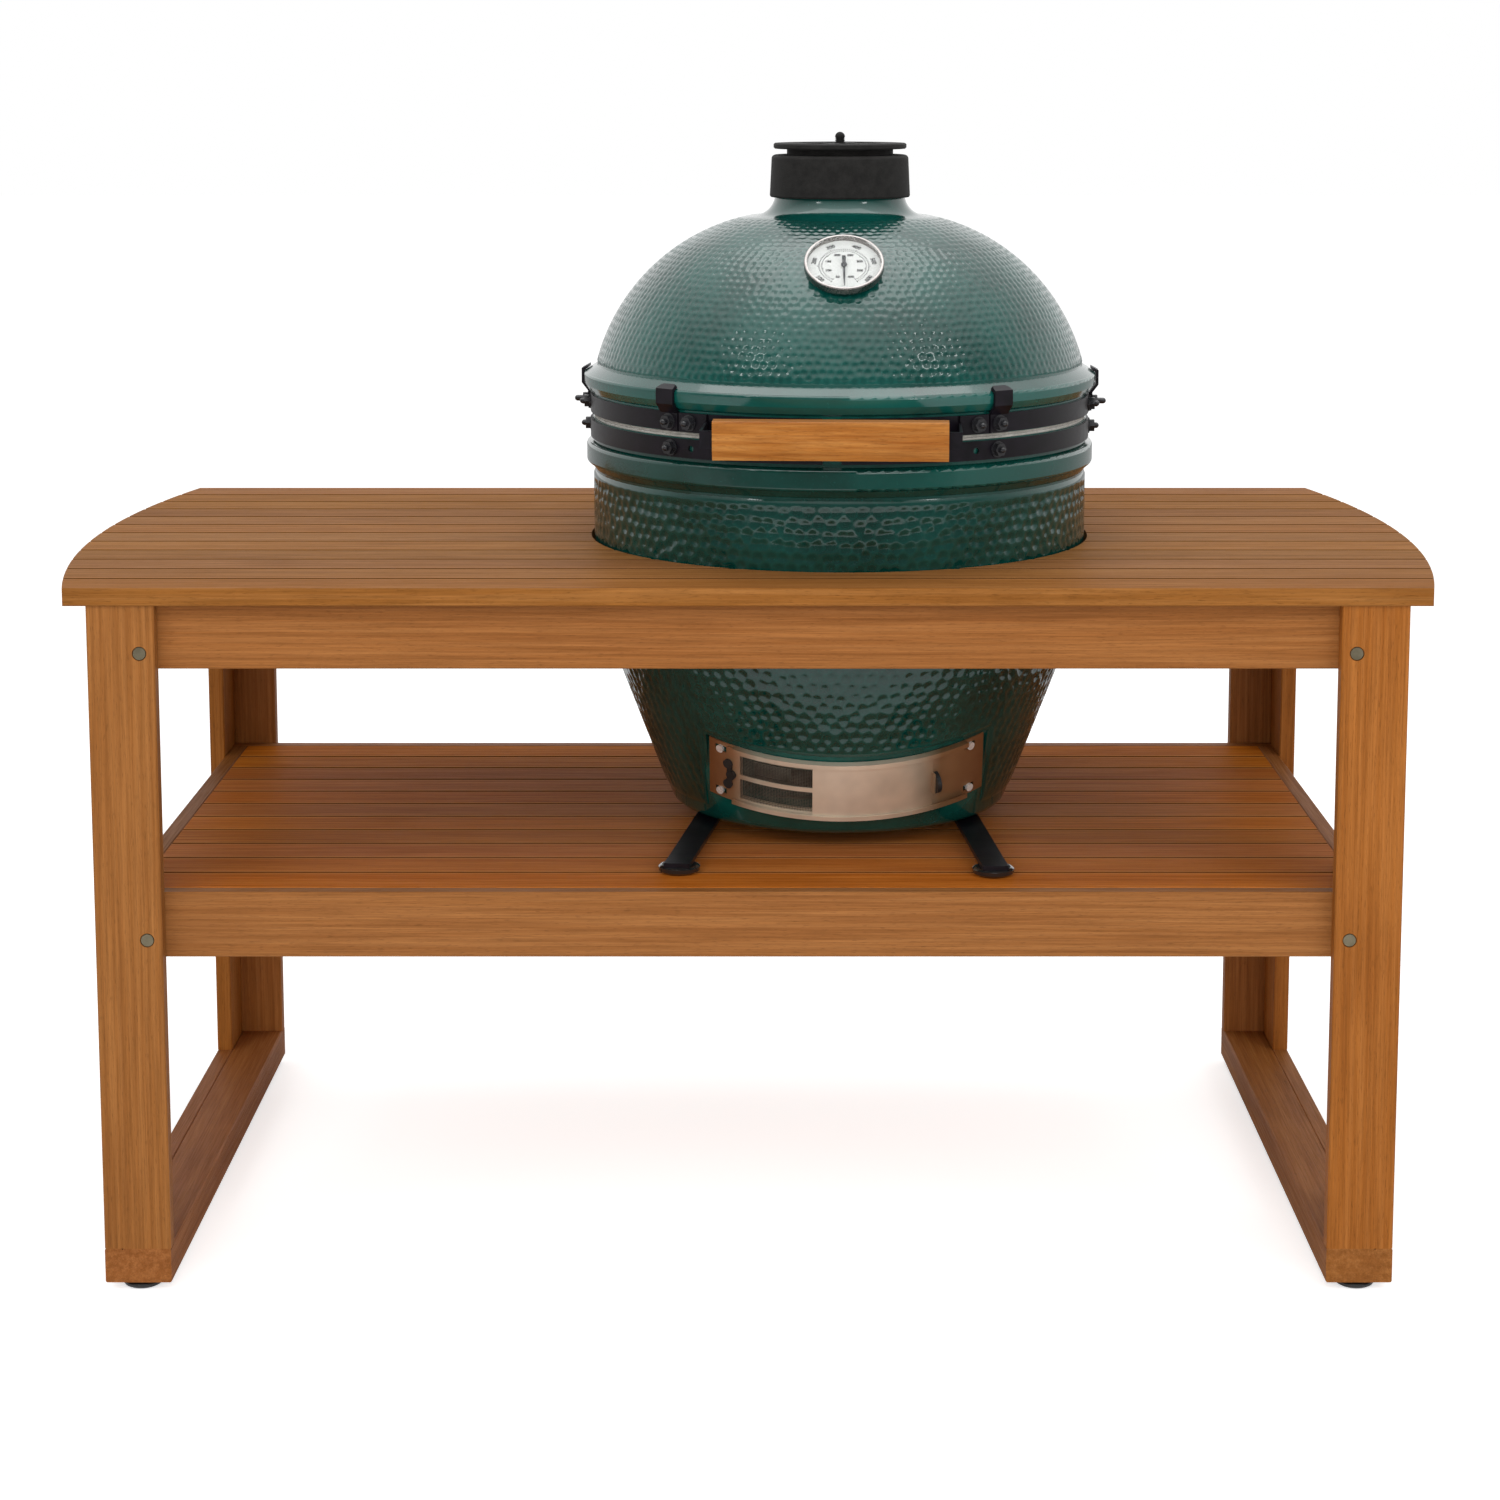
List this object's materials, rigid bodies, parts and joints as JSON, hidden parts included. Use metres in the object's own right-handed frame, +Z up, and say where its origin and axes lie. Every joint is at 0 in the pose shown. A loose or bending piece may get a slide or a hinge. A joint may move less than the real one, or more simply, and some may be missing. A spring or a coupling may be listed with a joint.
{
  "type": "kamado grill table",
  "caption": "Slatted hardwood table with a bowed top and a lower shelf, carrying a ceramic kamado grill with hinged lid, vent wheel and sliding draft door.",
  "frame": {"origin": "on the floor, under the middle of the table", "axes": "+X to the right along the table, +Y to the back, +Z up; the front with the handle faces -Y"},
  "size_m": [1.6, 0.8, 1.3008],
  "materials": {
    "table_wood": "oiled hardwood, orange brown",
    "top_wood": "oiled hardwood, brown",
    "shelf_wood": "oiled hardwood, dark reddish brown",
    "grip_wood": "varnished, golden",
    "green_ceramic": "glossy dark green glaze with a dimpled texture",
    "fire_clay": "raw fired clay",
    "felt": "pressed felt",
    "black_steel": "satin black powder coat",
    "black_fastener": "black, half gloss",
    "spring_steel": "oiled spring wire",
    "pale_steel": "brushed stainless, warm",
    "screw_steel": "plain steel",
    "mesh_steel": "woven wire",
    "black_plastic": "satin black",
    "glide_plastic": "glossy black",
    "cast_black": "matt black casting",
    "bright_rim": "polished",
    "white_dial": "matt white enamel",
    "dark_needle": "matt black",
    "clear_glass": "clear",
    "grid_steel": "stainless rods"
  },
  "bodies": {
    "table": {"top_slats_front": "top_wood", "top_slats_rear": "top_wood", "top_slats_left": "top_wood", "top_slats_right": "top_wood", "top_battens": "table_wood", "apron_front": "table_wood", "apron_rear": "table_wood", "side_aprons": "table_wood", "leg_front_left": "table_wood", "leg_front_right": "table_wood", "leg_rear_left": "table_wood", "leg_rear_right": "table_wood", "foot_rail_left": "table_wood", "foot_rail_right": "table_wood", "shelf_rail_front": "table_wood", "shelf_rail_rear": "table_wood", "shelf_side_rails": "table_wood", "shelf_slats": "shelf_wood", "shelf_battens": "shelf_wood", "frame_bolts": "black_fastener", "stand_frame": "black_steel", "stand_feet": "glide_plastic"},
    "kamado": {"grill_base": "green_ceramic", "firebox": "fire_clay", "fire_ring": "fire_clay", "fire_grate": "cast_black", "lower_gasket": "felt", "lower_band": "black_steel", "lower_band_bolts": "black_fastener", "hinge_lower_bracket": "black_steel", "hinge_pin": "screw_steel", "hinge_springs": "spring_steel", "door_frame": "pale_steel", "door_screws": "screw_steel"},
    "grid": {"cooking_grid": "grid_steel"},
    "draft_screen_slide": {"screen_frame": "pale_steel", "screen_mesh": "mesh_steel", "screen_knob": "black_plastic"},
    "draft_door_slide": {"door_panel": "pale_steel", "door_knob": "black_plastic"},
    "lid": {"dome": "green_ceramic", "upper_gasket": "felt", "upper_band": "black_steel", "upper_band_bolts": "black_fastener", "rim_hooks": "black_steel", "hinge_upper_bracket": "black_steel", "handle_grip": "grip_wood", "handle_brackets": "black_steel", "vent_cap": "cast_black", "thermometer_case": "bright_rim", "thermometer_dial": "white_dial", "thermometer_glass": "clear_glass"},
    "needle": {"thermometer_needle": "dark_needle"},
    "swing_cover": {"vent_swing_plate": "cast_black"},
    "daisy_wheel": {"vent_wheel": "cast_black", "vent_knob": "cast_black"},
    "levelling_foot_front_left": {"foot_pad_front_left": "glide_plastic"},
    "levelling_foot_front_right": {"foot_pad_front_right": "glide_plastic"},
    "levelling_foot_rear_left": {"foot_pad_rear_left": "glide_plastic"},
    "levelling_foot_rear_right": {"foot_pad_rear_right": "glide_plastic"}
  },
  "joints": [
    {"name": "grill_lift", "type": "slide", "parent": "table", "child": "kamado", "axis": [0, 0, 1], "range_m": [0, 0.75]},
    {"name": "lid_hinge", "type": "hinge", "parent": "kamado", "child": "lid", "pos_m": [0.12595, 0.35659, 0.95915], "axis": [-0.9988, 0.0488, 0], "range_deg": [0, 70]},
    {"name": "grid_lift", "type": "slide", "parent": "kamado", "child": "grid", "axis": [0, 0, 1], "range_m": [0, 0.04]},
    {"name": "draft_door", "type": "hinge", "parent": "kamado", "child": "draft_door_slide", "pos_m": [0.109, 0.01, 0.62626], "axis": [0, -0.3567, 0.9342], "range_deg": [-21.4, 11]},
    {"name": "draft_screen", "type": "hinge", "parent": "kamado", "child": "draft_screen_slide", "pos_m": [0.109, 0.01, 0.62626], "axis": [0, -0.3567, 0.9342], "range_deg": [0, 20]},
    {"name": "thermometer_needle", "type": "hinge", "parent": "lid", "child": "needle", "pos_m": [0.109, -0.20545, 1.14822], "axis": [0, 0.6361, -0.7716], "range_deg": [0, 320], "stiffness_Nm_per_rad": 0.0005},
    {"name": "vent_swing", "type": "hinge", "parent": "lid", "child": "swing_cover", "pos_m": [0.109, 0.077, 1.2733], "axis": [0, 0, 1], "range_deg": [0, 100]},
    {"name": "vent_wheel", "type": "hinge", "parent": "swing_cover", "child": "daisy_wheel", "pos_m": [0.109, 0.01, 1.2733], "axis": [0, 0, 1], "continuous": true},
    {"name": "level_front_left", "type": "slide", "parent": "table", "child": "levelling_foot_front_left", "axis": [0, 0, -1], "range_m": [0, 0.012]},
    {"name": "level_front_right", "type": "slide", "parent": "table", "child": "levelling_foot_front_right", "axis": [0, 0, -1], "range_m": [0, 0.012]},
    {"name": "level_rear_left", "type": "slide", "parent": "table", "child": "levelling_foot_rear_left", "axis": [0, 0, -1], "range_m": [0, 0.012]},
    {"name": "level_rear_right", "type": "slide", "parent": "table", "child": "levelling_foot_rear_right", "axis": [0, 0, -1], "range_m": [0, 0.012]}
  ]
}
